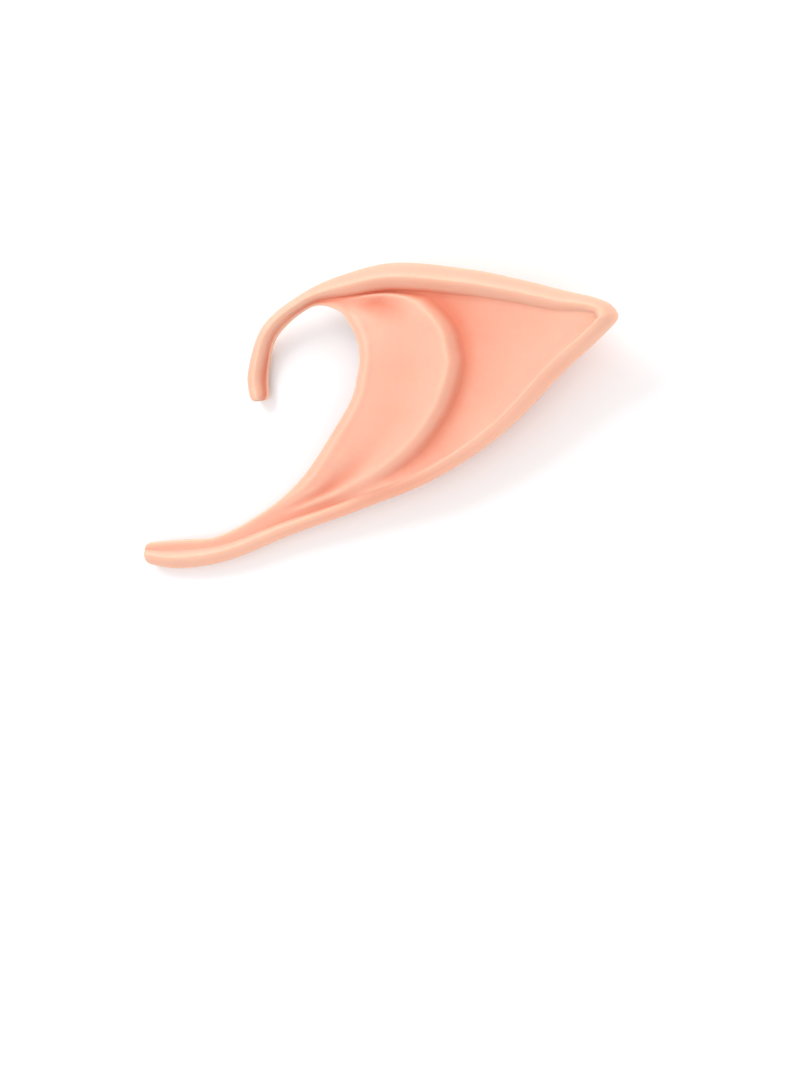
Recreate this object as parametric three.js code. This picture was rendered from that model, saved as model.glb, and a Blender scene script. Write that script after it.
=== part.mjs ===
// A slip-on pointed ear tip: one hollow moulding of soft rubber with a rolled rim, drawn lying on its back.
// Its front and back walls meet in the rim and part at the concave side, where the wearer's own ear goes in.
// A hook at the top and a tail at the bottom are the same section, narrowed to a slotted strip.
// Millimetres. +X runs from the tail to the point, +Y from the tail to the top of the rim, +Z out of the
// front. The origin is on the surface that the ear lies on, below the middle of its box.
import * as THREE from "three";
import { mergeVertices } from "three/addons/utils/BufferGeometryUtils.js";

// Overall sizes. The tables of sections hold shares of these.
const EAR_LENGTH = 109; // from the end of the tail to the point
const EAR_WIDTH = 62.4; // from the underside of the tail to the top of the rim
const POINT_HEIGHT = 16.5; // middle of the rim at the point, above the surface that the ear lies on
const POCKET_HEIGHT = 12; // front of the ear at the mouth of the pocket
const RIM_BAND = 5.6; // rolled rim, seen from the front, where it is widest
const RIM_STAND = 4.4; // crest of the rim over the front beside it, at the most
const RIM_UNDER = 5; // underside of the rim below its middle, where it is deepest
const RIM_CROWN = 0.4; // crest of the rim above its middle, as a share of the band

// Walls and small forms.
const WALL = 1.4;
const EDGE_WALL = 1; // the wall thins to this at its free edges
const EDGE_TAPER = 4; // width over which it thins
const LEAST_BAND = 0.25; // share of the rim's band that its inside keeps
const LIP_WIDTH = 3.2; // bead along the free edge of the front
const LIP_HEIGHT = 0.35;
const LIP_CURL = 0.3; // how far the free edge turns down from the bead
const VALLEY = 0.9; // dip between the bead and the inner ridge
const RIDGE_FALL = 3.2; // width of the step from the inner ridge down to the hollow behind it
const NARROW = 8; // the lip, the valley and the hollow fade where the front is about this wide
const WALL_SHIFT = 0.6; // the inside of the inner ridge's step lies this share of a wall nearer the mouth
const END_ROUND = 1.5; // rounding of the ends of the hook and the tail
const END_LEAST = 0.5; // share of the section that is left at the very end

// Limits, as shares of the way from the front's free edge to the foot of the rim.
const LIP_MOST = 0.3; // the lip ends here at the latest
const PANEL_LEAST = 0.1; // the panel between the lip and the ridge is at least this wide
const RIDGE_MOST = 0.96; // the ridge lies here at the latest
const FALL_MOST = 0.75; // the step takes this share of the way from the ridge to the rim at the most

// Powers of the curves.
const VALLEY_POWER = 1.3; // of the valley's sine
const RISE_POWER = 1.2; // a narrow front rises to the rim as this power of the way
const EDGE_LIFT = 3; // the back lifts from its belly to its free edge as this power of the way
const LEAST_SLOPE = 0.02; // of the back where it leaves the rim

// Mesh.
const STEP_ALONG = 3.3; // spacing of the sections along the rim
const LEAST_STEPS = 2; // between two rows of the tables
const END_STEPS = 4;
const ZONE_STEPS = { lip: 2, panel: 4, fall: 4, hollow: 4, wall: 3, outside: 3, under: 3, back: 6 };

// Sections across the ear, from the end of the hook over the top and round the point to the end of the tail.
// rimX, edgeX: outline of the rim and free edge of the front, of EAR_LENGTH; rimY, edgeY: of EAR_WIDTH.
// aim: the way from the outline across the rim, in degrees, 0 along +X. band: of RIM_BAND.
// crestAt: place of the rim's crest, of the way across the band.
// roof: 1 rolls the rim round, 2 makes it two facets.
// ridgeAt: place of the inner ridge, of the way from the front's free edge to the foot of the rim.
// backAt: place of the back's free edge, of the way from the front's free edge to the outline.
const OUTLINE_COLUMNS = [
  "rimX", "rimY", "edgeX", "edgeY", "aim", "band", "crestAt", "roof", "ridgeAt", "backAt",
];
const OUTLINE = {
  hook_end:  [0.220, 0.553, 0.252, 0.560,   10, 0.56, 0.62, 1.6, 0.50, 0.42],
  hook_low:  [0.214, 0.653, 0.250, 0.653,    0, 0.62, 0.60, 1.6, 0.50, 0.42],
  hook_bend: [0.253, 0.803, 0.277, 0.775,  -32, 0.50, 0.60, 1.6, 0.50, 0.40],
  hook_top:  [0.345, 0.906, 0.361, 0.869,  -58, 0.45, 0.60, 1.6, 0.60, 0.32],
  root:      [0.437, 0.963, 0.427, 0.853,  -80, 0.79, 0.56, 1.6, 0.80, 0.21],
  crown:     [0.545, 0.997, 0.458, 0.797,  -95, 1.00, 0.52, 1.6, 0.89, 0.20],
  top_mid:   [0.705, 0.968, 0.476, 0.741, -103, 0.94, 0.52, 1.6, 0.63, 0.21],
  top_far:   [0.801, 0.933, 0.479, 0.723, -109, 0.85, 0.52, 1.6, 0.506, 0.19],
  top_tip:   [0.891, 0.894, 0.480, 0.709, -116, 0.77, 0.52, 1.6, 0.419, 0.17],
  tip_above: [0.976, 0.855, 0.481, 0.692, -140, 0.60, 0.55, 1.5, 0.356, 0.148],
  tip:       [1.000, 0.811, 0.481, 0.679, -172, 0.80, 0.62, 1.5, 0.355, 0.144],
  tip_below: [0.980, 0.768, 0.480, 0.663, -203, 0.60, 0.78, 1.5, 0.364, 0.151],
  low_tip:   [0.882, 0.636, 0.476, 0.634, -223, 0.54, 0.88, 1.6, 0.457, 0.18],
  low_mid:   [0.753, 0.440, 0.462, 0.556, -227, 0.46, 0.88, 1.6, 0.566, 0.22],
  low:       [0.608, 0.291, 0.421, 0.452, -237, 0.44, 0.82, 1.6, 0.68, 0.24],
  heel:      [0.461, 0.198, 0.350, 0.302, -246, 0.46, 0.72, 1.6, 0.70, 0.22],
  tail_root: [0.311, 0.113, 0.266, 0.192, -249, 0.54, 0.63, 1.6, 0.60, 0.24],
  tail_bend: [0.175, 0.027, 0.156, 0.101, -252, 0.61, 0.60, 1.6, 0.55, 0.28],
  tail_low:  [0.070, 0.000, 0.065, 0.087, -266, 0.65, 0.60, 1.6, 0.50, 0.30],
  tail_end: [-0.002, 0.018, -0.002, 0.078, -270, 0.54, 0.62, 1.6, 0.50, 0.30],
};

// rimZ: middle of the rim, of POINT_HEIGHT. edgeZ, ridgeZ, hollowZ, bellyZ, backZ: heights of the front's
// free edge, the inner ridge, the front beside the rim, the back's belly and its free edge, of POCKET_HEIGHT.
// stand: crest over the front beside it, of RIM_STAND. under, wall: of RIM_UNDER, WALL.
// fall: the back leaves the rim as this power of the way that is left to its free edge.
// hollowZ and stand hold where the front is narrow. Where it is wide, the hollow is one surface of its own.
const HEIGHT_COLUMNS = [
  "rimZ", "edgeZ", "ridgeZ", "hollowZ", "bellyZ", "backZ", "stand", "under", "wall", "fall",
];
const HEIGHTS = {
  hook_end:  [0.17, 0.20, 0.22, 0.24,  0.01, 0.02, 0.26, 0.52, 0.75, 2.0],
  hook_low:  [0.17, 0.20, 0.22, 0.24,  0.01, 0.02, 0.26, 0.52, 0.75, 2.0],
  hook_bend: [0.29, 0.36, 0.38, 0.40,  0.15, 0.16, 0.26, 0.54, 0.75, 2.0],
  hook_top:  [0.46, 0.58, 0.59, 0.59,  0.33, 0.33, 0.30, 0.64, 0.77, 2.0],
  root:      [0.59, 0.80, 0.79, 0.78,  0.30, 0.30, 0.52, 0.88, 0.90, 2.2],
  crown:     [0.65, 0.92, 0.89, 0.79,  0.09, 0.12, 0.80, 1.00, 1.00, 2.8],
  top_mid:   [0.71, 0.99, 1.03, 0.80,  0.03, 0.06, 0.80, 1.00, 1.00, 3.4],
  top_far:   [0.77, 1.01, 1.06, 0.81, -0.01, 0.05, 0.75, 0.96, 1.00, 3.2],
  top_tip:   [0.85, 1.018, 1.072, 0.81, -0.03, 0.04, 0.70, 0.90, 1.00, 3.0],
  tip_above: [0.93, 1.022, 1.074, 0.81, -0.04, 0.04, 0.50, 0.72, 0.92, 2.7],
  tip:       [0.95, 1.022, 1.072, 0.81, -0.04, 0.04, 0.45, 0.68, 0.90, 2.6],
  tip_below: [0.90, 1.018, 1.068, 0.81, -0.04, 0.04, 0.25, 0.68, 0.92, 2.6],
  low_tip:   [0.72, 1.00, 1.042, 0.80, -0.03, 0.04, 0.12, 0.74, 1.00, 2.8],
  low_mid:   [0.58, 0.95, 0.97, 0.74, -0.01, 0.04, 0.12, 0.80, 1.00, 2.8],
  low:       [0.48, 0.85, 0.84, 0.66,  0.02, 0.04, 0.14, 0.90, 1.00, 2.4],
  heel:      [0.37, 0.66, 0.62, 0.54,  0.03, 0.04, 0.16, 0.80, 0.92, 2.0],
  tail_root: [0.28, 0.45, 0.43, 0.42,  0.03, 0.04, 0.20, 0.66, 0.85, 2.0],
  tail_bend: [0.21, 0.32, 0.32, 0.32,  0.02, 0.03, 0.22, 0.54, 0.80, 2.0],
  tail_low:  [0.17, 0.25, 0.255, 0.26, 0.01, 0.02, 0.24, 0.52, 0.80, 2.0],
  tail_end:  [0.17, 0.25, 0.255, 0.26, 0.01, 0.02, 0.24, 0.50, 0.80, 2.0],
};

// The hollow behind the inner ridge, of POCKET_HEIGHT: its level at a middle, given in shares of the ear's
// length and width, and how it rises towards the point and the top, turns up, twists, and bowls across.
const HOLLOW = {
  middleX: 0.67, middleY: 0.68, level: 0.80, rise: 1.06, lean: 0.24, upturn: 1.9, twist: -0.6, bowl: 0.8,
};

const SIZE_OF = {
  rimX: EAR_LENGTH, rimY: EAR_WIDTH, edgeX: EAR_LENGTH, edgeY: EAR_WIDTH, aim: 1, band: RIM_BAND,
  crestAt: 1, roof: 1, ridgeAt: 1, backAt: 1,
  rimZ: POINT_HEIGHT, edgeZ: POCKET_HEIGHT, ridgeZ: POCKET_HEIGHT, hollowZ: POCKET_HEIGHT,
  bellyZ: POCKET_HEIGHT, backZ: POCKET_HEIGHT, stand: RIM_STAND, under: RIM_UNDER, wall: WALL, fall: 1,
};

const { lerp, clamp, smoothstep, degToRad } = THREE.MathUtils;
const QUARTER = Math.PI / 2;

// The rows as real sizes, with the distance of each along the rim.
const COLUMNS = [...OUTLINE_COLUMNS, ...HEIGHT_COLUMNS];
const rows = Object.keys(OUTLINE).map((name) =>
  [...OUTLINE[name], ...HEIGHTS[name]].map((share, i) => share * SIZE_OF[COLUMNS[i]]));
const places = [0];
for (let i = 1; i < rows.length; i++) {
  places.push(places[i - 1] + Math.hypot(rows[i][0] - rows[i - 1][0], rows[i][1] - rows[i - 1][1]));
}
const rimLength = places[places.length - 1];
const between = new THREE.CubicInterpolant(places, rows.flat(), COLUMNS.length);

// The section at a place along the rim, as named sizes.
function sizesAt(place) {
  const values = [...between.evaluate(clamp(place, 0, rimLength))];
  return Object.fromEntries(COLUMNS.map((name, i) => [name, values[i]]));
}

// Height of the hollow over a place in plan: a quadratic about its middle.
function hollowHeight(p) {
  const u = p.x / EAR_LENGTH - HOLLOW.middleX;
  const v = p.y / EAR_WIDTH - HOLLOW.middleY;
  const tilted = HOLLOW.level + HOLLOW.rise * u + HOLLOW.lean * v;
  const curved = HOLLOW.upturn * u * u + HOLLOW.twist * u * v + HOLLOW.bowl * v * v;
  return POCKET_HEIGHT * (tilted + curved);
}

// Evenly spaced shares from 0 to 1, without the first.
const steps = (count) => Array.from({ length: Math.round(count) }, (_, i) => (i + 1) / Math.round(count));

// One skin of a section, from the front's free edge over the rim to the back's free edge, with the index of
// the point at the outline. inset 0 gives the outer skin, and the inner skin is the same section one wall in.
function skin(size, inset) {
  const inward = new THREE.Vector2(Math.cos(degToRad(size.aim)), Math.sin(degToRad(size.aim)));
  const outermost = new THREE.Vector2(size.rimX, size.rimY);
  const rim = outermost.clone().addScaledVector(inward, inset);
  const edge = new THREE.Vector2(size.edgeX, size.edgeY);
  const band = Math.max(size.band - 2 * inset, LEAST_BAND * size.band);
  const half = band / 2;
  const crest = size.rimZ + size.band * RIM_CROWN - inset;
  const under = size.under - inset;
  const foot = rim.clone().addScaledVector(inward, band);
  const width = foot.distanceTo(edge);
  const outerWidth = outermost.clone().addScaledVector(inward, size.band).distanceTo(edge);
  const wide = smoothstep(width, NARROW, 2 * NARROW);
  const relief = smoothstep(width, NARROW / 2, 1.5 * NARROW);
  const narrowFootZ = crest - size.stand;
  const footZ = lerp(narrowFootZ, hollowHeight(foot) - inset, wide);
  const points = [];
  const add = (p, z) => points.push(new THREE.Vector3(p.x, p.y, z));

  // The front: a bead at the free edge, a shallow dip up to the inner ridge, a step down, and the hollow.
  const lip = Math.min(LIP_WIDTH / width, LIP_MOST);
  const ridgeAt = (size.ridgeAt * outerWidth - WALL_SHIFT * inset) / width;
  const ridge = clamp(ridgeAt, lip + PANEL_LEAST, RIDGE_MOST);
  const fallEnd = Math.min(ridge + RIDGE_FALL / width, lerp(ridge, 1, FALL_MOST));
  const addFront = (t) => {
    const p = edge.clone().lerp(foot, t);
    const bead = LIP_HEIGHT * Math.sin(Math.PI * clamp(t / lip, 0, 1)) ** 2;
    const curl = LIP_CURL * (1 - smoothstep(t, 0, lip / 2));
    const dip = VALLEY * Math.sin(Math.PI * clamp((t - lip) / (ridge - lip), 0, 1)) ** VALLEY_POWER;
    const panel = lerp(size.edgeZ, size.ridgeZ, Math.min(t / ridge, 1)) + relief * (bead - curl - dip);
    const rise = clamp((t - fallEnd) / (1 - fallEnd), 0, 1) ** RISE_POWER;
    const floor = lerp(lerp(size.hollowZ, narrowFootZ + inset, rise), hollowHeight(p), wide);
    add(p, lerp(panel, floor, smoothstep(t, ridge, fallEnd)) - inset);
  };
  addFront(0);
  steps(ZONE_STEPS.lip).forEach((t) => addFront(lerp(0, lip, t)));
  steps(ZONE_STEPS.panel).forEach((t) => addFront(lerp(lip, ridge, t)));
  steps(ZONE_STEPS.fall).forEach((t) => addFront(lerp(ridge, fallEnd, t)));
  steps(ZONE_STEPS.hollow).forEach((t) => addFront(lerp(fallEnd, 1, t)));

  // The rolled rim: up its inner wall to the crest, over to the outline and down to where the back leaves it.
  const back = edge.clone().lerp(new THREE.Vector2(rim.x, rim.y), size.backAt);
  const bellyZ = size.bellyZ + inset;
  const slope = Math.max((size.fall * (size.rimZ - under - bellyZ)) / back.distanceTo(rim), LEAST_SLOPE);
  const leave = Math.atan(under / half / slope);
  const addRoll = (depth, z) => add(rim.clone().addScaledVector(inward, depth), z);
  const outerPart = band * size.crestAt;
  steps(ZONE_STEPS.wall).forEach((t) => addRoll(
    lerp(outerPart, band, Math.cos(QUARTER * t) ** size.roof),
    lerp(footZ, crest, Math.sin(QUARTER * t) ** size.roof)));
  steps(ZONE_STEPS.outside).forEach((t) => addRoll(
    outerPart * (1 - Math.sin(QUARTER * t) ** size.roof),
    lerp(size.rimZ, crest, Math.cos(QUARTER * t) ** size.roof)));
  const outline = points.length - 1;
  const underDepth = (t) => half * (1 - Math.cos(leave * t));
  const underZ = (t) => size.rimZ - under * Math.sin(leave * t);
  steps(ZONE_STEPS.under).forEach((t) => addRoll(underDepth(t), underZ(t)));

  // The back: one curve from the underside of the rim past the belly to its free edge.
  const from = rim.clone().addScaledVector(inward, underDepth(1));
  steps(ZONE_STEPS.back).forEach((t) => {
    const fall = (underZ(1) - bellyZ) * (1 - t) ** size.fall;
    const lift = (size.backZ + inset - bellyZ) * t ** EDGE_LIFT;
    add(from.clone().lerp(back, t), bellyZ + fall + lift);
  });
  return { points, outline };
}

// One closed ring of points: the outer skin, round the back's free edge, the inner skin and round the
// front's free edge.
// share: how much of the section stands, drawn in towards its middle.
function ring(place, share) {
  const size = sizesAt(place);
  const { points: outer, outline } = skin(size, 0);
  const inner = skin(size, size.wall).points;
  const last = outer.length - 1;

  // The wall thins towards its free edges.
  const ends = [inner[0].clone(), inner[last].clone()];
  inner.forEach((p, i) => {
    const toEdge = Math.min(...ends.map((end) => p.distanceTo(end)));
    const wallShare = lerp(Math.min(EDGE_WALL / size.wall, 1), 1, smoothstep(toEdge, 0, EDGE_TAPER));
    p.lerpVectors(outer[i], p, wallShare);
  });
  const rounded = (i, beside) => {
    const away = outer[i].clone().sub(outer[beside]).setZ(0).setLength(outer[i].distanceTo(inner[i]) / 2);
    return outer[i].clone().lerp(inner[i], 0.5).add(away);
  };
  const points = [...outer, rounded(last, last - 1), ...[...inner].reverse(), rounded(0, 1)];
  const middle = outer[0].clone().lerp(outer[outline], 0.5).setZ(size.rimZ);
  return points.map((p) => middle.clone().lerp(p, share));
}

// Places along the rim with the share of the section that stands there, less than 1 at the two rounded ends.
function stations() {
  const endShare = (t) => lerp(END_LEAST, 1, Math.sin(QUARTER * t));
  const endDepth = (t) => END_ROUND * (1 - Math.cos(QUARTER * t));
  const endSteps = [0, ...steps(END_STEPS)];
  const found = endSteps.map((t) => [endDepth(t), endShare(t)]);
  for (let i = 1; i < places.length; i++) {
    const a = Math.max(places[i - 1], END_ROUND);
    const b = Math.min(places[i], rimLength - END_ROUND);
    const count = Math.max(LEAST_STEPS, Math.round((b - a) / STEP_ALONG));
    steps(count).forEach((t) => found.push([lerp(a, b, t), 1]));
  }
  endSteps.reverse().slice(1).forEach((t) => found.push([rimLength - endDepth(t), endShare(t)]));
  return found;
}

// The closed surface through all the rings, with each end closed by a strip across the wall.
function shellGeometry() {
  const rings = stations().map(([place, share]) => ring(place, share));
  const around = rings[0].length;
  const skinCount = (around - 2) / 2;
  const index = [];
  for (let i = 0; i + 1 < rings.length; i++) {
    for (let j = 0; j < around; j++) {
      const [a, b] = [i * around + j, i * around + ((j + 1) % around)];
      index.push(a, a + around, b + around, a, b + around, b);
    }
  }
  const cap = (start, turned) => {
    const triangle = (a, b, c) => (turned ? index.push(a, c, b) : index.push(a, b, c));
    const inner = (j) => start + 2 * skinCount - j;
    for (let j = 0; j + 1 < skinCount; j++) {
      triangle(start + j, start + j + 1, inner(j + 1));
      triangle(start + j, inner(j + 1), inner(j));
    }
    triangle(start + skinCount - 1, start + skinCount, inner(skinCount - 1));
    triangle(start, inner(0), start + around - 1);
  };
  cap(0, false);
  cap((rings.length - 1) * around, true);
  const geometry = new THREE.BufferGeometry();
  const coordinates = rings.flat().flatMap((p) => p.toArray());
  geometry.setAttribute("position", new THREE.Float32BufferAttribute(coordinates, 3));
  geometry.setIndex(index);
  return mergeVertices(geometry);
}

const latex = new THREE.MeshStandardMaterial({
  name: "latex", color: 0xf3b697, roughness: 0.55, metalness: 0,
});

function earShell() {
  const geometry = shellGeometry();
  geometry.computeBoundingBox();
  const box = geometry.boundingBox;
  const middle = box.getCenter(new THREE.Vector3());
  geometry.translate(-middle.x, -middle.y, -box.min.z);
  geometry.computeVertexNormals();
  const mesh = new THREE.Mesh(geometry, latex);
  mesh.name = "ear_shell";
  return mesh;
}

const ear = new THREE.Group();
ear.name = "ear_tip";
ear.add(earShell());
export default ear;
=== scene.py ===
"""A slip-on pointed ear tip of soft latex, lying on its back on a pale floor.

The shell is one skin lofted through sections across the ear. Each section runs from the free edge of the
front, over the rolled rim, to the free edge of the back, and the inside is the same section one wall in.
Lengths in the tables are shares of the sizes in EarShellSizes. +X runs from the tail to the point, and +Z
out of the front.
"""

import bpy
import numpy as np
from bpy.props import FloatProperty, FloatVectorProperty, IntProperty, PointerProperty
from mathutils import Matrix, Vector


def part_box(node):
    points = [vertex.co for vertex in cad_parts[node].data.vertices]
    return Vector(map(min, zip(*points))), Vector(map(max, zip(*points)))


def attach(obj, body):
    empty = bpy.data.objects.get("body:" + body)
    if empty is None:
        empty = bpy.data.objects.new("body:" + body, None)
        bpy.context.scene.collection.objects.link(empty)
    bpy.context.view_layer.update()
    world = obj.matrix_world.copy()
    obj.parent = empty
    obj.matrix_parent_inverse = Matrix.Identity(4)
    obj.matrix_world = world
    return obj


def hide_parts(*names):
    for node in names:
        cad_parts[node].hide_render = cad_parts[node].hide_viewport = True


bl_info = {
    "name": "Pointed ear tip",
    "version": (1, 0, 0),
    "blender": (4, 5, 0),
    "location": "3D View > Sidebar > Ear tip",
    "description": "Makes a slip-on pointed ear tip of soft latex and the pale stage that it lies on",
    "category": "Object",
}

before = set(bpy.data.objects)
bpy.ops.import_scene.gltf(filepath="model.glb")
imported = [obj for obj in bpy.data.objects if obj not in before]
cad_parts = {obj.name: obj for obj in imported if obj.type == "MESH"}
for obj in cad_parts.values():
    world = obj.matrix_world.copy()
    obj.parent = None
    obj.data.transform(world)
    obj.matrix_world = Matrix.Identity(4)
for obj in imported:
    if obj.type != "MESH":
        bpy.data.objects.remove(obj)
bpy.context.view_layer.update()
NODE = "ear_shell"
MM = 0.001
QUARTER = np.pi / 2

# Sections from the end of the hook over the top, round the point and down to the end of the tail.
# rim_x, edge_x: outline of the rim and free edge of the front, of the ear's length.
# rim_y, edge_y: the same, of its width.
# aim: the way from the outline across the rim, in degrees, 0 along +X. band: of the rim's width.
# crest_at: place of the rim's crest, of the way across the band.
# roof: 1 rolls the rim round, 2 makes it two facets.
# ridge_at: place of the inner ridge, of the way from the front's free edge to the foot of the rim.
# back_at: place of the back's free edge, of the way from the front's free edge to the outline.
OUTLINE_COLUMNS = (
    "rim_x", "rim_y", "edge_x", "edge_y", "aim", "band", "crest_at", "roof", "ridge_at", "back_at")
OUTLINE = {
    "hook_end":  (0.220, 0.553, 0.252, 0.560,   10, 0.56, 0.62, 1.6, 0.50, 0.42),
    "hook_low":  (0.214, 0.653, 0.250, 0.653,    0, 0.62, 0.60, 1.6, 0.50, 0.42),
    "hook_bend": (0.253, 0.803, 0.277, 0.775,  -32, 0.50, 0.60, 1.6, 0.50, 0.40),
    "hook_top":  (0.345, 0.906, 0.361, 0.869,  -58, 0.45, 0.60, 1.6, 0.60, 0.32),
    "root":      (0.437, 0.963, 0.427, 0.853,  -80, 0.79, 0.56, 1.6, 0.80, 0.21),
    "crown":     (0.545, 0.997, 0.458, 0.797,  -95, 1.00, 0.52, 1.6, 0.89, 0.20),
    "top_mid":   (0.705, 0.968, 0.476, 0.741, -103, 0.94, 0.52, 1.6, 0.63, 0.21),
    "top_far":   (0.801, 0.933, 0.479, 0.723, -109, 0.85, 0.52, 1.6, 0.506, 0.19),
    "top_tip":   (0.891, 0.894, 0.480, 0.709, -116, 0.77, 0.52, 1.6, 0.419, 0.17),
    "tip_above": (0.976, 0.855, 0.481, 0.692, -140, 0.60, 0.55, 1.5, 0.356, 0.148),
    "tip":       (1.000, 0.811, 0.481, 0.679, -172, 0.80, 0.62, 1.5, 0.355, 0.144),
    "tip_below": (0.980, 0.768, 0.480, 0.663, -203, 0.60, 0.78, 1.5, 0.364, 0.151),
    "low_tip":   (0.882, 0.636, 0.476, 0.634, -223, 0.54, 0.88, 1.6, 0.457, 0.18),
    "low_mid":   (0.753, 0.440, 0.462, 0.556, -227, 0.46, 0.88, 1.6, 0.566, 0.22),
    "low":       (0.608, 0.291, 0.421, 0.452, -237, 0.44, 0.82, 1.6, 0.68, 0.24),
    "heel":      (0.461, 0.198, 0.350, 0.302, -246, 0.46, 0.72, 1.6, 0.70, 0.22),
    "tail_root": (0.311, 0.113, 0.266, 0.192, -249, 0.54, 0.63, 1.6, 0.60, 0.24),
    "tail_bend": (0.175, 0.027, 0.156, 0.101, -252, 0.61, 0.60, 1.6, 0.55, 0.28),
    "tail_low":  (0.070, 0.000, 0.065, 0.087, -266, 0.65, 0.60, 1.6, 0.50, 0.30),
    "tail_end": (-0.002, 0.018, -0.002, 0.078, -270, 0.54, 0.62, 1.6, 0.50, 0.30),
}
# rim_z: middle of the rim, of the point's height.
# edge_z, ridge_z, hollow_z, belly_z, back_z: the front's free edge, the inner ridge, the front beside the rim,
# the back's belly and its free edge, of the pocket's height.
# stand, under: crest over the front beside it, and underside below the middle, of the rim's largest.
# wall: of the wall. fall: the back leaves the rim as this power of the way that is left to its free edge.
# hollow_z and stand hold where the front is narrow. Where it is wide, the hollow is one surface of its own.
HEIGHT_COLUMNS = (
    "rim_z", "edge_z", "ridge_z", "hollow_z", "belly_z", "back_z", "stand", "under", "wall", "fall")
HEIGHTS = {
    "hook_end":  (0.17, 0.20, 0.22, 0.24,  0.01, 0.02, 0.26, 0.52, 0.75, 2.0),
    "hook_low":  (0.17, 0.20, 0.22, 0.24,  0.01, 0.02, 0.26, 0.52, 0.75, 2.0),
    "hook_bend": (0.29, 0.36, 0.38, 0.40,  0.15, 0.16, 0.26, 0.54, 0.75, 2.0),
    "hook_top":  (0.46, 0.58, 0.59, 0.59,  0.33, 0.33, 0.30, 0.64, 0.77, 2.0),
    "root":      (0.59, 0.80, 0.79, 0.78,  0.30, 0.30, 0.52, 0.88, 0.90, 2.2),
    "crown":     (0.65, 0.92, 0.89, 0.79,  0.09, 0.12, 0.80, 1.00, 1.00, 2.8),
    "top_mid":   (0.71, 0.99, 1.03, 0.80,  0.03, 0.06, 0.80, 1.00, 1.00, 3.4),
    "top_far":   (0.77, 1.01, 1.06, 0.81, -0.01, 0.05, 0.75, 0.96, 1.00, 3.2),
    "top_tip":   (0.85, 1.018, 1.072, 0.81, -0.03, 0.04, 0.70, 0.90, 1.00, 3.0),
    "tip_above": (0.93, 1.022, 1.074, 0.81, -0.04, 0.04, 0.50, 0.72, 0.92, 2.7),
    "tip":       (0.95, 1.022, 1.072, 0.81, -0.04, 0.04, 0.45, 0.68, 0.90, 2.6),
    "tip_below": (0.90, 1.018, 1.068, 0.81, -0.04, 0.04, 0.25, 0.68, 0.92, 2.6),
    "low_tip":   (0.72, 1.00, 1.042, 0.80, -0.03, 0.04, 0.12, 0.74, 1.00, 2.8),
    "low_mid":   (0.58, 0.95, 0.97, 0.74, -0.01, 0.04, 0.12, 0.80, 1.00, 2.8),
    "low":       (0.48, 0.85, 0.84, 0.66,  0.02, 0.04, 0.14, 0.90, 1.00, 2.4),
    "heel":      (0.37, 0.66, 0.62, 0.54,  0.03, 0.04, 0.16, 0.80, 0.92, 2.0),
    "tail_root": (0.28, 0.45, 0.43, 0.42,  0.03, 0.04, 0.20, 0.66, 0.85, 2.0),
    "tail_bend": (0.21, 0.32, 0.32, 0.32,  0.02, 0.03, 0.22, 0.54, 0.80, 2.0),
    "tail_low":  (0.17, 0.25, 0.255, 0.26,  0.01, 0.02, 0.24, 0.52, 0.80, 2.0),
    "tail_end":  (0.17, 0.25, 0.255, 0.26,  0.01, 0.02, 0.24, 0.50, 0.80, 2.0),
}
# The hollow behind the inner ridge. Its middle is in shares of the ear's length and width. The rest, in shares
# of the pocket's height, is its level there and how it rises towards the point and the top, turns up, twists,
# and bowls across.
HOLLOW_MIDDLE = (0.67, 0.68)
HOLLOW = {"level": 0.80, "rise": 1.06, "lean": 0.24, "upturn": 1.9, "twist": -0.6, "bowl": 0.8}
# Steps of the mesh in each zone of a section, in the order in which a section is drawn.
ZONE_STEPS = {
    "lip": 8, "panel": 18, "fall": 18, "hollow": 20, "wall": 8, "outside": 10, "under": 8, "back": 24,
}
TO_BRINK = sum(ZONE_STEPS.values()) - ZONE_STEPS["under"] - ZONE_STEPS["back"]
EDGE_POINTS = 5
END_SECTIONS = 10

# Limits, as shares of the way from the front's free edge to the foot of the rim.
LIP_MOST = 0.3
PANEL_LEAST = 0.1
RIDGE_MOST = 0.96
# The step takes this share of the way from the ridge to the rim at the most.
FALL_MOST = 0.75

# Powers of the valley's sine, of the rise of a narrow front, and of the back's lift to its free edge.
VALLEY_POWER = 1.3
RISE_POWER = 1.2
EDGE_LIFT = 3
# Slope of the back where it leaves the rim, at the least.
LEAST_SLOPE = 0.02

# Cells of the grid of heights in one reach of the shelter, and pores across one speck.
CELLS_IN_REACH = 12
SPECK_PORES = 3


def length_prop(name, description, default):
    """A property that holds a length, in metres."""
    return FloatProperty(name=name, description=description, default=default, unit="LENGTH", precision=5)


def share_prop(name, description, default):
    """A property that holds a share or a power."""
    return FloatProperty(name=name, description=description, default=default)


def colour_prop(name, description, default):
    """A property that holds a linear colour."""
    return FloatVectorProperty(
        name=name, description=description, default=default, subtype="COLOR", min=0, max=1)


def power_prop(name, description, default):
    """A property that holds the power of a light, in watts."""
    return FloatProperty(name=name, description=description, default=default, subtype="POWER")


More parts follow.
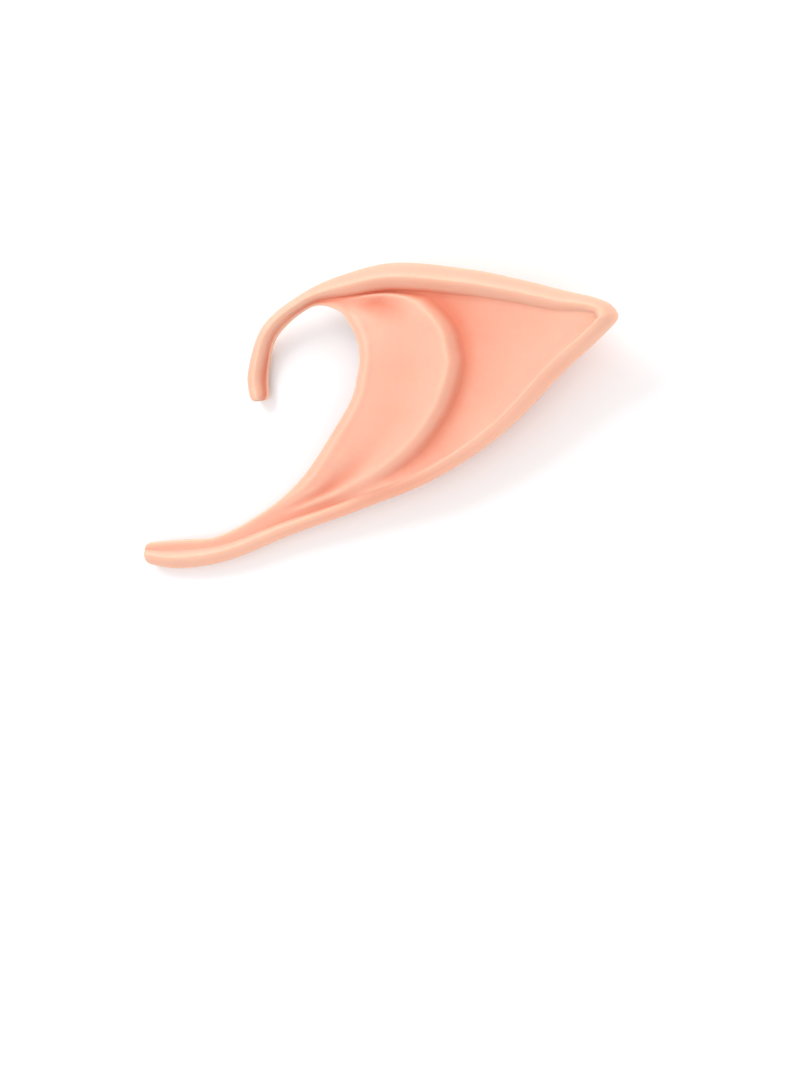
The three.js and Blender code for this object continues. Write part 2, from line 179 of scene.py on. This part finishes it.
class EarShellSizes(bpy.types.PropertyGroup):
    """Real sizes of the shell. The tables of sections hold shares of the first eight."""

    length: length_prop("Length", "From the end of the tail to the point", 109 * MM)
    width: length_prop("Width", "From the underside of the tail to the top of the rim", 62.4 * MM)
    point_height: length_prop("Point height", "Middle of the rim at the point, above the floor", 16.5 * MM)
    pocket_height: length_prop("Pocket height", "Front of the ear at the mouth of the pocket", 12 * MM)
    rim_band: length_prop("Rim band", "Rolled rim, seen from the front, where it is widest", 5.6 * MM)
    rim_stand: length_prop("Rim stand", "Crest of the rim over the front beside it, at the most", 4.4 * MM)
    rim_under: length_prop(
        "Rim underside", "Underside of the rim below its middle, where it is deepest", 5 * MM)
    wall: length_prop("Wall", "Thickness of the latex", 1.4 * MM)
    wall_shift: share_prop(
        "Wall shift", "The inside of the ridge's step lies this share of a wall nearer the mouth", 0.6)
    least_band: share_prop("Least band", "Share of the rim's band that its inside keeps", 0.25)
    rim_crown: share_prop("Rim crown", "Crest of the rim above its middle, of the band", 0.4)
    edge_wall: length_prop("Edge wall", "The wall thins to this at its free edges", 1 * MM)
    edge_taper: length_prop("Edge taper", "Width over which the wall thins", 4 * MM)
    lip_width: length_prop("Lip width", "Bead along the free edge of the front", 3.2 * MM)
    lip_height: length_prop("Lip height", "Height of that bead", 0.35 * MM)
    lip_curl: length_prop("Lip curl", "How far the free edge turns down from the bead", 0.3 * MM)
    valley: length_prop("Valley", "Dip between the bead and the inner ridge", 0.9 * MM)
    ridge_fall: length_prop("Ridge fall", "Width of the step from the inner ridge to the hollow", 3.2 * MM)
    narrow: length_prop("Narrow", "Lip, valley and hollow fade where the front is about this wide", 8 * MM)
    end_round: length_prop("End rounding", "Rounding of the ends of the hook and the tail", 1.5 * MM)
    end_least: share_prop("End share", "Share of the section that is left at the very end", 0.5)
    stations: IntProperty(name="Sections", description="Sections along the rim", default=380, min=40, max=400)


class LatexFinish(bpy.types.PropertyGroup):
    """Colours and texture of the latex."""

    # The finish holds the latex's own colours and also the painted highlight and the painted shade.
    skin: colour_prop("Skin", "Colour of the latex where light falls on it", (0.86, 0.475, 0.35))
    # Painted highlight: a paler colour laid on crests and free edges, where light catches them.
    painted_highlight: colour_prop("Cream", "Paler colour of the latex, on crests and free edges", (0.90, 0.57, 0.42))
    # Warmer colour of random patches and specks, and also the painted shade of narrow folds and sheltered
    # places.
    flush: colour_prop(
        "Flush", "Warmer colour of the latex, in patches and in the folds", (0.76, 0.235, 0.14))
    glow: colour_prop(
        "Glow", "How far each colour of light travels inside, against the depth", (1.0, 0.38, 0.22))
    glow_depth: length_prop("Glow depth", "How far light travels inside the latex", 2.4 * MM)
    glow_share: share_prop("Glow share", "Share of the light that goes inside", 0.55)
    roughness: share_prop("Roughness", "Roughness of the surface", 0.52)
    # The crest reach and height set the mask of the painted highlight.
    crest_reach: length_prop("Crest reach", "Distance over which a crest is felt", 1.2 * MM)
    crest_height: length_prop("Crest height", "Height of a crest that is fully pale", 0.4 * MM)
    # The fold reach and depth set the mask of the painted shade in narrow folds.
    fold_reach: length_prop("Fold reach", "Distance over which a narrow fold is felt", 3 * MM)
    fold_depth: length_prop("Fold depth", "Depth of a narrow fold with the full flush", 1.2 * MM)
    # Painted shade on the front where it lies below the parts around it, as if shaded by them; the reach and
    # depth set its mask.
    shelter_reach: length_prop("Shelter reach", "Distance over which higher parts warm a lower one", 7 * MM)
    shelter_depth: length_prop(
        "Shelter depth", "Depth below the parts around it with the full flush", 1.9 * MM)
    patch_flush: share_prop("Patch flush", "Share of the flush in a patch", 0.4)
    speck_flush: share_prop("Speck flush", "Share of the flush in a speck", 0.12)
    # Painted shade: share of the warmer colour in a narrow fold.
    painted_crease_shade: share_prop("Fold flush", "Share of the flush in a narrow fold", 0.25)
    # Painted shade: share of the warmer colour in a sheltered place.
    painted_shelter_shade: share_prop("Shelter flush", "Share of the flush in a sheltered place", 0.95)
    flush_from: share_prop("Flush from", "The flush starts above this sum of its shares", 0.14)
    # How much of the painted highlight a full crest gets.
    painted_highlight_share: share_prop("Crest share", "Share of the cream on a full crest", 0.5)
    roughness_spread: share_prop("Roughness spread", "How much the roughness differs between specks", 0.12)
    pit_share: share_prop(
        "Pit share", "Share of the pits in the fine relief, and the specks are the rest", 0.7)
    patch_size: length_prop("Patch size", "Size of the patches of warmer colour", 16 * MM)
    pore_size: length_prop("Pore size", "Size of the pits that the mould leaves", 0.5 * MM)
    pore_depth: length_prop("Pore depth", "Depth of those pits", 0.02 * MM)


class StageSetup(bpy.types.PropertyGroup):
    """The camera, the lights and the floor."""

    camera_tilt: FloatProperty(
        name="Camera tilt", description="Lean of the camera from overhead towards the point",
        default=np.radians(22), subtype="ANGLE")
    camera_distance: length_prop("Camera distance", "From the ear to the camera", 1)
    floor_size: length_prop("Floor size", "Side of the square floor", 6)
    floor_colour: colour_prop("Floor colour", "Colour of the floor", (0.95, 0.95, 0.96))
    key_power: power_prop("Key light", "Power of the soft main light", 3)
    fill_power: power_prop("Fill light", "Power of the overhead light", 2.35)
    sky_strength: share_prop("Sky strength", "Light from all round", 0.88)


def smoothstep(value, low, high):
    """0 below low, 1 above high, and between them 3t^2 - 2t^3 of the way t from low to high."""
    t = np.clip((value - low) / (high - low), 0, 1)
    return t * t * (3 - 2 * t)


def lerp(a, b, t):
    """a where t is 0, b where t is 1, and the straight line between them."""
    return a + (b - a) * t


def hermite(knots, values, places):
    """Cubic through the rows of values at the knots: between two knots, the cubic whose slope at each knot is
    the slope of the chord from the knot before it to the knot after it. At both ends the curvature is nil."""
    slopes = np.empty_like(values)
    slopes[1:-1] = (values[2:] - values[:-2]) / (knots[2:] - knots[:-2])[:, None]
    for end, near in ((0, 1), (-1, -2)):
        chord = (values[near] - values[end]) / (knots[near] - knots[end])
        slopes[end] = 1.5 * chord - 0.5 * slopes[near]
    i = np.clip(np.searchsorted(knots, places) - 1, 0, len(knots) - 2)
    step = (knots[i + 1] - knots[i])[:, None]
    t = (places - knots[i])[:, None] / step
    return (values[i] * (1 + 2 * t) * (1 - t) ** 2 + slopes[i] * step * t * (1 - t) ** 2
            + values[i + 1] * t * t * (3 - 2 * t) + slopes[i + 1] * step * t * t * (t - 1))


def section_sizes(s):
    """The tables as real sizes, in metres, interpolated at evenly spaced places along the rim and at the two
    rounded ends. Returns a dict of columns and the share of the section that stands at each place."""
    unit = {
        "rim_x": s.length, "rim_y": s.width, "edge_x": s.length, "edge_y": s.width,
        "rim_z": s.point_height, "band": s.rim_band, "stand": s.rim_stand,
        "under": s.rim_under, "wall": s.wall,
        **dict.fromkeys(("edge_z", "ridge_z", "hollow_z", "belly_z", "back_z"), s.pocket_height),
    }
    columns = OUTLINE_COLUMNS + HEIGHT_COLUMNS
    shares = np.array([OUTLINE[name] + HEIGHTS[name] for name in OUTLINE], float)
    rows = shares * [unit.get(name, 1) for name in columns]
    knots = np.concatenate(([0], np.cumsum(np.hypot(*np.diff(rows[:, :2], axis=0).T))))
    turn = np.linspace(0, QUARTER, END_SECTIONS)
    depth = s.end_round * (1 - np.cos(turn))
    share = lerp(s.end_least, 1, np.sin(turn))
    places = np.linspace(s.end_round, knots[-1] - s.end_round, s.stations)
    places = np.concatenate((depth[:-1], places, knots[-1] - depth[-2::-1]))
    shares = np.concatenate((share[:-1], np.ones(s.stations), share[-2::-1]))
    values = hermite(knots, rows, places)
    return {name: values[:, [i]] for i, name in enumerate(columns)}, shares


def hollow_height(s, x, y):
    """Height of the hollow over a place in plan: a quadratic about its middle."""
    u = x / s.length - HOLLOW_MIDDLE[0]
    v = y / s.width - HOLLOW_MIDDLE[1]
    h = HOLLOW
    tilted = h["level"] + h["rise"] * u + h["lean"] * v
    return s.pocket_height * (tilted + h["upturn"] * u * u + h["twist"] * u * v + h["bowl"] * v * v)


def skin(s, size, inset):
    """One skin of every section, as an array of stations by points by x, y, z. inset 0 gives the outer skin.

    Front: a straight line in plan from the free edge to the foot of the rim, with heights of a bead, a shallow
    sine dip, a smoothstep down from the ridge, and the hollow. Rim: two quarter turns of an ellipse,
    sharpened by the roof power, from the foot over the crest to the outline, then part of a round one under
    it. Back: a power curve down to the belly that lifts again at its free edge."""
    grid = {zone: np.linspace(0, 1, count + 1)[1:][None] for zone, count in ZONE_STEPS.items()}
    aim = np.radians(size["aim"])
    inward = np.stack((np.cos(aim), np.sin(aim)), -1)
    outline = np.stack((size["rim_x"], size["rim_y"]), -1)
    rim = outline + inset[..., None] * inward
    edge = np.stack((size["edge_x"], size["edge_y"]), -1)
    outer_width = np.linalg.norm(outline + size["band"][..., None] * inward - edge, axis=-1)
    band = np.maximum(size["band"] - 2 * inset, s.least_band * size["band"])
    crest = size["rim_z"] + size["band"] * s.rim_crown - inset
    under = size["under"] - inset
    foot = rim + band[..., None] * inward
    width = np.linalg.norm(foot - edge, axis=-1)
    fullness = smoothstep(width, s.narrow / 2, 1.5 * s.narrow)
    own = smoothstep(width, s.narrow, 2 * s.narrow)
    narrow_foot_z = crest - size["stand"]
    foot_z = lerp(narrow_foot_z, hollow_height(s, foot[..., 0], foot[..., 1]) - inset, own)

    lip = np.minimum(s.lip_width / width, LIP_MOST)
    ridge = np.clip(
        (size["ridge_at"] * outer_width - s.wall_shift * inset) / width, lip + PANEL_LEAST, RIDGE_MOST)
    fall_end = np.minimum(ridge + s.ridge_fall / width, lerp(ridge, 1, FALL_MOST))
    start = np.zeros_like(lip)
    along = np.concatenate((
        start, lerp(start, lip, grid["lip"]), lerp(lip, ridge, grid["panel"]),
        lerp(ridge, fall_end, grid["fall"]), lerp(fall_end, 1, grid["hollow"])), 1)
    front_xy = lerp(edge, foot, along[..., None])
    panel = lerp(size["edge_z"], size["ridge_z"], np.minimum(along / ridge, 1))
    dip = np.sin(np.pi * np.clip((along - lip) / (ridge - lip), 0, 1)) ** VALLEY_POWER
    panel -= s.valley * fullness * dip
    panel += s.lip_height * fullness * np.sin(np.pi * np.clip(along / lip, 0, 1)) ** 2
    panel -= s.lip_curl * fullness * (1 - smoothstep(along, 0, lip / 2))
    rise = np.clip((along - fall_end) / (1 - fall_end), 0, 1) ** RISE_POWER
    narrow_z = lerp(size["hollow_z"], narrow_foot_z + inset, rise)
    floor_z = lerp(narrow_z, hollow_height(s, front_xy[..., 0], front_xy[..., 1]), own)
    front_z = lerp(panel, floor_z, smoothstep(along, ridge, fall_end)) - inset
    front = np.concatenate((front_xy, front_z[..., None]), -1)

    inner_part = band * (1 - size["crest_at"])
    outer_part = band * size["crest_at"]
    turn = QUARTER * grid["wall"]
    wall_depth = outer_part + inner_part * np.cos(turn) ** size["roof"]
    wall_z = foot_z + (crest - foot_z) * np.sin(turn) ** size["roof"]
    turn = QUARTER * grid["outside"]
    outside_depth = outer_part * (1 - np.sin(turn) ** size["roof"])
    outside_z = size["rim_z"] + (crest - size["rim_z"]) * np.cos(turn) ** size["roof"]
    half = band / 2
    back = lerp(edge, rim, size["back_at"][..., None])
    belly_z = size["belly_z"] + inset
    span = np.linalg.norm(back - rim, axis=-1)
    slope = np.maximum(size["fall"] * (size["rim_z"] - under - belly_z) / span, LEAST_SLOPE)
    leave = np.arctan(under / half / slope)
    under_depth = half * (1 - np.cos(leave * grid["under"]))
    under_z = size["rim_z"] - under * np.sin(leave * grid["under"])
    depth = np.concatenate((wall_depth, outside_depth, under_depth), 1)
    roll_z = np.concatenate((wall_z, outside_z, under_z), 1)
    roll = np.concatenate((rim + depth[..., None] * inward, roll_z[..., None]), -1)

    t = grid["back"]
    back_xy = lerp(roll[:, -1:, :2], back, t[..., None])
    back_z = (belly_z + (roll_z[:, -1:] - belly_z) * (1 - t) ** size["fall"]
              + (size["back_z"] + inset - belly_z) * t ** EDGE_LIFT)
    return np.concatenate((front, roll, np.concatenate((back_xy, back_z[..., None]), -1)), 1)


def round_edge(outer, inner, beside):
    """Half a turn from the outer to the inner skin at a free edge, bulging away from the points beside it."""
    middle = (outer + inner) / 2
    reach = (outer - inner) / 2
    away = outer - beside
    away[:, 2] = 0
    away *= (np.linalg.norm(reach, axis=-1) / np.linalg.norm(away, axis=-1))[:, None]
    turn = np.linspace(0, np.pi, EDGE_POINTS + 2)[1:-1, None]
    return middle[:, None] + reach[:, None] * np.cos(turn) + away[:, None] * np.sin(turn)


def shell_rings(s):
    """The closed rings of the shell, as stations by points by x, y, z: the outer skin, round the back's free
    edge, the inner skin back to the front, and round the front's free edge. Near its free edges the wall thins
    by a smoothstep. At the ends of the hook and the tail the rings are drawn in towards their middle."""
    size, shares = section_sizes(s)
    outer = skin(s, size, np.zeros_like(size["wall"]))
    inner = skin(s, size, size["wall"])
    to_edge = np.minimum(*(np.linalg.norm(inner - inner[:, [i]], axis=-1) for i in (0, -1)))
    thinned = lerp(np.minimum(s.edge_wall / size["wall"], 1), 1, smoothstep(to_edge, 0, s.edge_taper))
    inner = lerp(outer, inner, thinned[..., None])
    back_edge = round_edge(outer[:, -1], inner[:, -1], outer[:, -2])
    front_edge = round_edge(inner[:, 0], outer[:, 0], inner[:, 1])
    rings = np.concatenate((outer, back_edge, inner[:, ::-1], front_edge), 1)
    middle = (outer[:, :1] + outer[:, [TO_BRINK]]) / 2
    middle[..., 2] = size["rim_z"]
    return lerp(middle, rings, shares[:, None, None])


# bends() gives the masks of the painted highlight on crests and of the painted shade in narrow folds.
def bends(rings, normals, reach):
    """How far each point of a ring stands out, along its normal, from the middle of the chord between the
    points of the ring at one reach to either side of it. More than 0 on a crest and less in a fold."""
    middles = np.empty_like(rings)
    for middle, ring in zip(middles, rings):
        closed = np.concatenate((ring, ring[:1]))
        along = np.concatenate(([0], np.cumsum(np.linalg.norm(np.diff(closed, axis=0), axis=-1))))
        for axis in range(3):
            beside = [
                np.interp(along[:-1] + way * reach, along, closed[:, axis], period=along[-1])
                for way in (-1, 1)]
            middle[:, axis] = sum(beside) / 2
    return np.sum((rings - middles) * normals, axis=-1)


# The shares below mask the painted shade in sheltered places and inside the pocket.
def shelter(s, finish, rings):
    """How far each point of the front lies below the mean height around it, as a share of the full depth: the
    heights of the front's cells of a square grid, smoothed by a bell curve of one reach, less the point's own
    height. On the inside it is full, and rises to that from the free edges by a smoothstep."""
    count = rings.shape[1] // 2 - EDGE_POINTS
    front = rings[:, :TO_BRINK + 1]
    cell = finish.shelter_reach / CELLS_IN_REACH
    low = front.min((0, 1))[:2] - cell
    place = (front[..., :2] - low) / cell
    size = np.ceil(place.max((0, 1))).astype(int) + 2
    near = np.rint(place).astype(int)
    cells = near[..., 0] * size[1] + near[..., 1]
    filled = np.bincount(cells.ravel(), minlength=size.prod())
    heights = np.bincount(cells.ravel(), front[..., 2].ravel(), size.prod()) / np.maximum(filled, 1)
    bells = [
        np.exp(-0.5 * ((np.arange(n)[:, None] - np.arange(n)) * cell / finish.shelter_reach) ** 2)
        for n in size]
    total, weight = (
        bells[0] @ grid.reshape(size) @ bells[1] for grid in (heights, np.minimum(filled, 1)))
    mean = total / weight
    i, j = np.moveaxis(place.astype(int), -1, 0)
    u, v = np.moveaxis(place % 1, -1, 0)
    around = lerp(lerp(mean[i, j], mean[i + 1, j], u), lerp(mean[i, j + 1], mean[i + 1, j + 1], u), v)
    shares = np.zeros(rings.shape[:2])
    shares[:, :TO_BRINK + 1] = np.clip((around - front[..., 2]) / finish.shelter_depth, 0, 1)
    inside = rings[:, count + EDGE_POINTS:-EDGE_POINTS]
    to_edge = np.minimum(*(np.linalg.norm(inside - inside[:, [k]], axis=-1) for k in (0, -1)))
    shares[:, count + EDGE_POINTS:-EDGE_POINTS] = smoothstep(to_edge, 0, 2 * s.edge_taper)
    return shares


def shell_faces(stations, around):
    """Four-sided faces between neighbouring rings, and at each end a strip across the wall with a face at each
    of its two rounded edges."""
    i = np.arange(stations - 1)[:, None] * around
    j = np.arange(around)[None]
    k = (j + 1) % around
    faces = np.stack((i + j, i + around + j, i + around + k, i + k), -1).reshape(-1, 4).tolist()
    count = around // 2 - EDGE_POINTS
    outer = np.arange(count)
    inner = 2 * count + EDGE_POINTS - 1 - outer
    strip = np.stack((outer[:-1], outer[1:], inner[1:], inner[:-1]), -1)
    edges = np.arange(-1, EDGE_POINTS + 1) + np.array([[count], [around - EDGE_POINTS]])
    edges %= around
    last = (stations - 1) * around
    for cap in (strip, edges):
        faces += cap.tolist()
        faces += (cap[:, ::-1] + last).tolist()
    return faces


class Value:
    """A socket that can be reckoned with: each operator adds a Math node."""

    def __init__(self, nodes, socket):
        self.nodes = nodes
        self.socket = socket

    def _with(self, operation, first, second):
        return self.nodes.value("ShaderNodeMath", {"operation": operation}, {0: first, 1: second})

    def __add__(self, other):
        return self._with("ADD", self, other)

    def __radd__(self, other):
        return self._with("ADD", other, self)

    def __sub__(self, other):
        return self._with("SUBTRACT", self, other)

    def __rsub__(self, other):
        return self._with("SUBTRACT", other, self)

    def __mul__(self, other):
        return self._with("MULTIPLY", self, other)

    def __rmul__(self, other):
        return self._with("MULTIPLY", other, self)


class Nodes:
    """The node tree of a new material."""

    def __init__(self, name):
        self.material = bpy.data.materials.new(name)
        self.material.use_nodes = True
        self.tree = self.material.node_tree
        self.tree.nodes.clear()

    def add(self, kind, settings, inputs):
        """A node of that kind with its settings and the values or links of its sockets."""
        node = self.tree.nodes.new(kind)
        for name, setting in settings.items():
            setattr(node, name, setting)
        for name, value in inputs.items():
            if isinstance(value, Value):
                self.tree.links.new(value.socket, node.inputs[name])
            else:
                node.inputs[name].default_value = value
        return node

    def value(self, kind, settings, inputs, output=0):
        """One output of such a node, to reckon with."""
        return Value(self, self.add(kind, settings, inputs).outputs[output])


def latex_material(finish):
    """Soft latex: light travels inside it, random patches are a little warmer, folds and sheltered places get
    painted shade in a warmer colour, crests get a paler painted highlight, and the mould has left fine pits."""
    nodes = Nodes("latex")
    place = nodes.value("ShaderNodeTexCoord", {}, {}, "Object")
    crest, fold, shelter_shade_mask = (
        nodes.value("ShaderNodeAttribute", {"attribute_name": name}, {}, "Fac")
        for name in ("crest", "fold", "shelter"))
    patches = nodes.value("ShaderNodeTexNoise", {}, {
        "Vector": place, "Scale": 1 / finish.patch_size, "Detail": 3, "Roughness": 0.55})
    specks = nodes.value("ShaderNodeTexNoise", {}, {
        "Vector": place, "Scale": 1 / (SPECK_PORES * finish.pore_size), "Detail": 2, "Roughness": 0.6})
    pits = nodes.value("ShaderNodeTexNoise", {}, {
        "Vector": place, "Scale": 1 / finish.pore_size, "Detail": 2, "Roughness": 0.6})
    # Random patches and specks of warmer tone, plus painted shade in narrow folds and sheltered places.
    warmth_and_shade = (finish.patch_flush * patches + finish.speck_flush * specks + finish.painted_crease_shade * fold
              + finish.painted_shelter_shade * shelter_shade_mask - finish.flush_from)
    flushed_and_shaded = nodes.value("ShaderNodeMix", {"data_type": "RGBA", "clamp_factor": True}, {
        0: warmth_and_shade, 6: (*finish.skin, 1), 7: (*finish.flush, 1)}, 2)
    # Painted highlight: the paler colour mixed in on crests and free edges.
    colour = nodes.value("ShaderNodeMix", {"data_type": "RGBA", "clamp_factor": True}, {
        0: finish.painted_highlight_share * crest, 6: flushed_and_shaded, 7: (*finish.painted_highlight, 1)}, 2)
    roughness = finish.roughness + finish.roughness_spread * (specks - 0.5)
    bump = nodes.value("ShaderNodeBump", {}, {
        "Strength": 1, "Distance": finish.pore_depth,
        "Height": finish.pit_share * pits + (1 - finish.pit_share) * specks})
    shader = nodes.value("ShaderNodeBsdfPrincipled", {}, {
        "Base Color": colour, "Roughness": roughness, "Normal": bump,
        "Subsurface Weight": finish.glow_share, "Subsurface Radius": finish.glow,
        "Subsurface Scale": finish.glow_depth, "Specular IOR Level": 0.4})
    nodes.add("ShaderNodeOutputMaterial", {}, {"Surface": shader})
    return nodes.material


def floor_material(colour):
    """Smooth pale board."""
    nodes = Nodes("pale_board")
    shader = nodes.value("ShaderNodeBsdfPrincipled", {}, {"Base Color": (*colour, 1), "Roughness": 0.9})
    nodes.add("ShaderNodeOutputMaterial", {}, {"Surface": shader})
    return nodes.material


def new_object(name, data):
    """An object in the scene's own collection, at the origin."""
    made = bpy.data.objects.new(name, data)
    bpy.context.scene.collection.objects.link(made)
    return made


class EAR_OT_shell(bpy.types.Operator):
    """Make the latex shell, where its node of the frame lies"""

    bl_idname = "ear.shell"
    bl_label = "Ear shell"

    def execute(self, context):
        rings = shell_rings(context.scene.ear_shell)
        stations, around = rings.shape[:2]
        points = rings.reshape(-1, 3)
        low, high = (np.array(corner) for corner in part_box(NODE))
        shift = (low + high - points.min(0) - points.max(0)) / 2
        shift[2] = low[2] - points[:, 2].min()
        mesh = bpy.data.meshes.new("latex_shell")
        mesh.from_pydata((points + shift).tolist(), [], shell_faces(stations, around))
        mesh.polygons.foreach_set("use_smooth", np.ones(len(mesh.polygons), bool))
        mesh.update()
        normals = np.empty(rings.size, np.float32)
        mesh.vertices.foreach_get("normal", normals)
        normals = normals.reshape(rings.shape)
        finish = context.scene.ear_finish
        # Masks on the mesh: crest for the painted highlight, fold and shelter for the painted shade.
        for name, shares in (
                ("crest", np.clip(bends(rings, normals, finish.crest_reach) / finish.crest_height, 0, 1)),
                ("fold", np.clip(-bends(rings, normals, finish.fold_reach) / finish.fold_depth, 0, 1)),
                ("shelter", shelter(context.scene.ear_shell, finish, rings))):
            mesh.attributes.new(name, "FLOAT", "POINT").data.foreach_set("value", shares.ravel())
        mesh.materials.append(latex_material(finish))
        shell = new_object("latex_shell", mesh)
        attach(shell, "root")
        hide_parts(NODE)
        return {"FINISHED"}


# Pixels of the 800 by 1067 frame: its size, the scale at the ear, and where the ear's seat is pictured.
FRAME_PX = (800, 1067)
PX_PER_MM = 4.9
SEAT_PX = (381, 415)
SEAT = Vector((-2.36, 0.31, 0)) * MM
SEAT_HEIGHT = 8 * MM
SENSOR_MM = 36

# Where each square light hangs: the way to it from the ear, its distance and its side, in metres.
LIGHTS = {
    "key_light": {"way": (-0.6, 0.8, 0.78), "distance": 0.8, "side": 0.4},
    "fill_light": {"way": (0.5, -0.3, 1.0), "distance": 1.0, "side": 1.2},
}


class EAR_OT_stage(bpy.types.Operator):
    """Make the floor, the soft lights and the camera"""

    bl_idname = "ear.stage"
    bl_label = "Stage"

    def execute(self, context):
        s = context.scene.ear_stage
        half = s.floor_size / 2
        mesh = bpy.data.meshes.new("floor")
        corners = [(-half, -half, 0), (half, -half, 0), (half, half, 0), (-half, half, 0)]
        mesh.from_pydata(corners, [], [(0, 1, 2, 3)])
        mesh.materials.append(floor_material(s.floor_colour))
        floor = new_object("floor", mesh)

        back = Vector((np.sin(s.camera_tilt), 0, np.cos(s.camera_tilt)))
        up = Vector((0, 1, 0))
        right = up.cross(back)
        px = MM / PX_PER_MM
        target = (SEAT + SEAT_HEIGHT * back + right * (FRAME_PX[0] / 2 - SEAT_PX[0]) * px
                  - up * (FRAME_PX[1] / 2 - SEAT_PX[1]) * px)
        lens = bpy.data.cameras.new("camera")
        lens.sensor_width = SENSOR_MM
        lens.lens = lens.sensor_width * s.camera_distance / (FRAME_PX[1] * px)
        lens.clip_start = 0.01
        camera = new_object("camera", lens)
        camera.matrix_world = Matrix.Translation(target + back * s.camera_distance) @ Matrix(
            (right, up, back)).transposed().to_4x4()
        context.scene.camera = camera

        for name, power in (("key_light", s.key_power), ("fill_light", s.fill_power)):
            light = bpy.data.lights.new(name, "AREA")
            light.size = LIGHTS[name]["side"]
            light.energy = power
            lamp = new_object(name, light)
            away = Vector(LIGHTS[name]["way"]).normalized()
            turned = away.to_track_quat("Z", "Y").to_matrix().to_4x4()
            lamp.matrix_world = Matrix.Translation(away * LIGHTS[name]["distance"]) @ turned

        world = bpy.data.worlds.new("sky")
        world.use_nodes = True
        background = world.node_tree.nodes["Background"]
        background.inputs["Color"].default_value = (1, 1, 1, 1)
        background.inputs["Strength"].default_value = s.sky_strength
        context.scene.world = world
        context.scene.view_settings.view_transform = "Standard"
        return {"FINISHED"}


class EAR_PT_sidebar(bpy.types.Panel):
    """The makers of the ear and the stage, with their sizes"""

    bl_idname = "EAR_PT_sidebar"
    bl_label = "Ear tip"
    bl_space_type = "VIEW_3D"
    bl_region_type = "UI"
    bl_category = "Ear tip"

    def draw(self, context):
        scene = context.scene
        for group, operator in (
                (scene.ear_shell, EAR_OT_shell), (scene.ear_finish, None), (scene.ear_stage, EAR_OT_stage)):
            box = self.layout.box()
            for name in group.__annotations__:
                box.prop(group, name)
            if operator:
                box.operator(operator.bl_idname)


CLASSES = (EarShellSizes, LatexFinish, StageSetup, EAR_OT_shell, EAR_OT_stage, EAR_PT_sidebar)
GROUPS = {"ear_shell": EarShellSizes, "ear_finish": LatexFinish, "ear_stage": StageSetup}


def register():
    for made in CLASSES:
        bpy.utils.register_class(made)
    for name, group in GROUPS.items():
        setattr(bpy.types.Scene, name, PointerProperty(type=group))


def unregister():
    for name in GROUPS:
        delattr(bpy.types.Scene, name)
    for made in reversed(CLASSES):
        bpy.utils.unregister_class(made)


def main():
    register()
    bpy.ops.ear.shell()
    bpy.ops.ear.stage()


if __name__ == "__main__":
    main()
